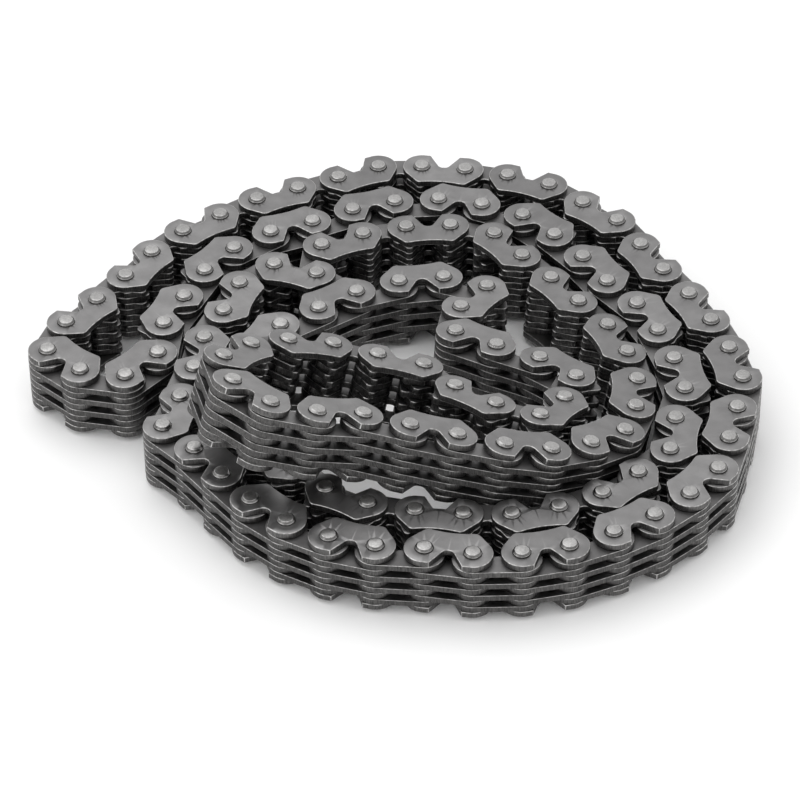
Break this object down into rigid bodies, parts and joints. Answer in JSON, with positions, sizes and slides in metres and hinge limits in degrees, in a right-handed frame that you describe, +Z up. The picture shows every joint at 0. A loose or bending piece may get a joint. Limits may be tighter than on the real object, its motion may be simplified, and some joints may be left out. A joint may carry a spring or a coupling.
{
  "type": "silent timing chain",
  "caption": "Endless inverted-tooth steel timing chain of stacked toothed plates, guide plates and riveted round pins, folded on its side.",
  "frame": {"origin": "on the surface that the chain lies on, under the middle of its outline", "axes": "+Z up along the pins, +X along the longer side of the folded coil, +Y across it, away from the viewer of the picture"},
  "size_m": [0.1006, 0.0876, 0.0244],
  "materials": {
    "toothed_plate": "blanked and tumbled steel, satin",
    "guide_plate": "blanked and tumbled steel, satin with bright edges",
    "pin": "ground steel with riveted, bevelled ends"
  },
  "bodies": {
    "link_01": {"free_link_01": "toothed_plate"},
    "link_02": {"free_link_02": "toothed_plate"},
    "link_03": {"free_link_03": "toothed_plate"},
    "link_04": {"free_link_04": "toothed_plate"},
    "link_05": {"free_link_05": "toothed_plate"},
    "link_06": {"free_link_06": "toothed_plate"},
    "link_07": {"free_link_07": "toothed_plate"},
    "link_08": {"free_link_08": "toothed_plate"},
    "span_01": {"span_01_plates": "toothed_plate", "span_01_guides": "guide_plate", "span_01_pins": "pin"},
    "span_02": {"span_02_plates": "toothed_plate", "span_02_guides": "guide_plate", "span_02_pins": "pin"},
    "span_03": {"span_03_plates": "toothed_plate", "span_03_guides": "guide_plate", "span_03_pins": "pin"},
    "span_04": {"span_04_plates": "toothed_plate", "span_04_guides": "guide_plate", "span_04_pins": "pin"},
    "span_05": {"span_05_plates": "toothed_plate", "span_05_guides": "guide_plate", "span_05_pins": "pin"},
    "span_06": {"span_06_plates": "toothed_plate", "span_06_guides": "guide_plate", "span_06_pins": "pin"},
    "span_07": {"span_07_plates": "toothed_plate", "span_07_guides": "guide_plate", "span_07_pins": "pin"},
    "span_08": {"span_08_plates": "toothed_plate", "span_08_guides": "guide_plate", "span_08_pins": "pin"}
  },
  "joints": [
    {"name": "link_01_swing", "type": "hinge", "parent": "span_08", "child": "link_01", "pos_m": [0.0168, 0.03879, 0.00504], "axis": [0.0001, 0, 1], "range_deg": [-3, 0.5]},
    {"name": "span_01_swing", "type": "hinge", "parent": "link_01", "child": "span_01", "pos_m": [0.01064, 0.04032, 0.00504], "axis": [0.0001, 0, 1], "range_deg": [-0.5, 3]},
    {"name": "link_02_swing", "type": "hinge", "parent": "span_01", "child": "link_02", "pos_m": [0.00434, 0.0411, 0.00504], "axis": [0.0001, 0, 1], "range_deg": [-2, 0]},
    {"name": "span_02_swing", "type": "hinge", "parent": "link_02", "child": "span_02", "pos_m": [-0.00201, 0.0411, 0.00505], "axis": [0.0001, 0, 1], "range_deg": [0, 2]},
    {"name": "link_03_swing", "type": "hinge", "parent": "span_02", "child": "link_03", "pos_m": [-0.00786, 0.03862, 0.00505], "axis": [0.0001, 0, 1], "range_deg": [-7, 0]},
    {"name": "span_03_swing", "type": "hinge", "parent": "link_03", "child": "span_03", "pos_m": [-0.0137, 0.03613, 0.00505], "axis": [0.0001, 0, 1], "range_deg": [0, 7]},
    {"name": "link_04_swing", "type": "hinge", "parent": "span_03", "child": "link_04", "pos_m": [-0.01955, 0.03365, 0.00505], "axis": [0.0001, 0, 1], "range_deg": [-12, 0.5]},
    {"name": "span_04_swing", "type": "hinge", "parent": "link_04", "child": "span_04", "pos_m": [-0.02475, 0.03001, 0.00505], "axis": [0.0001, 0, 1], "range_deg": [-0.5, 12]},
    {"name": "link_05_swing", "type": "hinge", "parent": "span_04", "child": "link_05", "pos_m": [-0.04284, -0.00396, 0.00505], "axis": [-0.0001, 0.0001, 1], "range_deg": [-3, 0.5]},
    {"name": "span_05_swing", "type": "hinge", "parent": "link_05", "child": "span_05", "pos_m": [-0.03661, -0.00518, 0.00505], "axis": [-0.0001, 0.0001, 1], "range_deg": [-0.5, 3]},
    {"name": "link_06_swing", "type": "hinge", "parent": "span_05", "child": "link_06", "pos_m": [-0.02254, 0.02236, 0.00505], "axis": [-0.0001, -0.0001, 1], "range_deg": [-12, 0.5]},
    {"name": "span_06_swing", "type": "hinge", "parent": "link_06", "child": "span_06", "pos_m": [-0.01741, 0.02609, 0.00506], "axis": [-0.0001, -0.0001, 1], "range_deg": [-0.5, 12]},
    {"name": "link_07_swing", "type": "hinge", "parent": "span_06", "child": "link_07", "pos_m": [-0.01148, 0.02837, 0.00506], "axis": [-0.0001, 0, 1], "range_deg": [-7, 0]},
    {"name": "span_07_swing", "type": "hinge", "parent": "link_07", "child": "span_07", "pos_m": [-0.00572, 0.03105, 0.00506], "axis": [-0.0001, 0, 1], "range_deg": [0, 7]},
    {"name": "link_08_swing", "type": "hinge", "parent": "span_07", "child": "link_08", "pos_m": [0.00035, 0.03291, 0.00506], "axis": [-0.0001, 0, 1], "range_deg": [-2, 0]}
  ],
  "couplings": [
    {"joint": "span_01_swing", "follows": "link_01_swing", "ratio": -1},
    {"joint": "span_02_swing", "follows": "link_02_swing", "ratio": -1},
    {"joint": "span_03_swing", "follows": "link_03_swing", "ratio": -1},
    {"joint": "span_04_swing", "follows": "link_04_swing", "ratio": -1},
    {"joint": "link_05_swing", "follows": "link_01_swing", "ratio": 1},
    {"joint": "span_05_swing", "follows": "link_01_swing", "ratio": -1},
    {"joint": "link_06_swing", "follows": "link_04_swing", "ratio": 1},
    {"joint": "span_06_swing", "follows": "link_04_swing", "ratio": -1},
    {"joint": "link_07_swing", "follows": "link_03_swing", "ratio": 1},
    {"joint": "span_07_swing", "follows": "link_03_swing", "ratio": -1},
    {"joint": "link_08_swing", "follows": "link_02_swing", "ratio": 1}
  ]
}
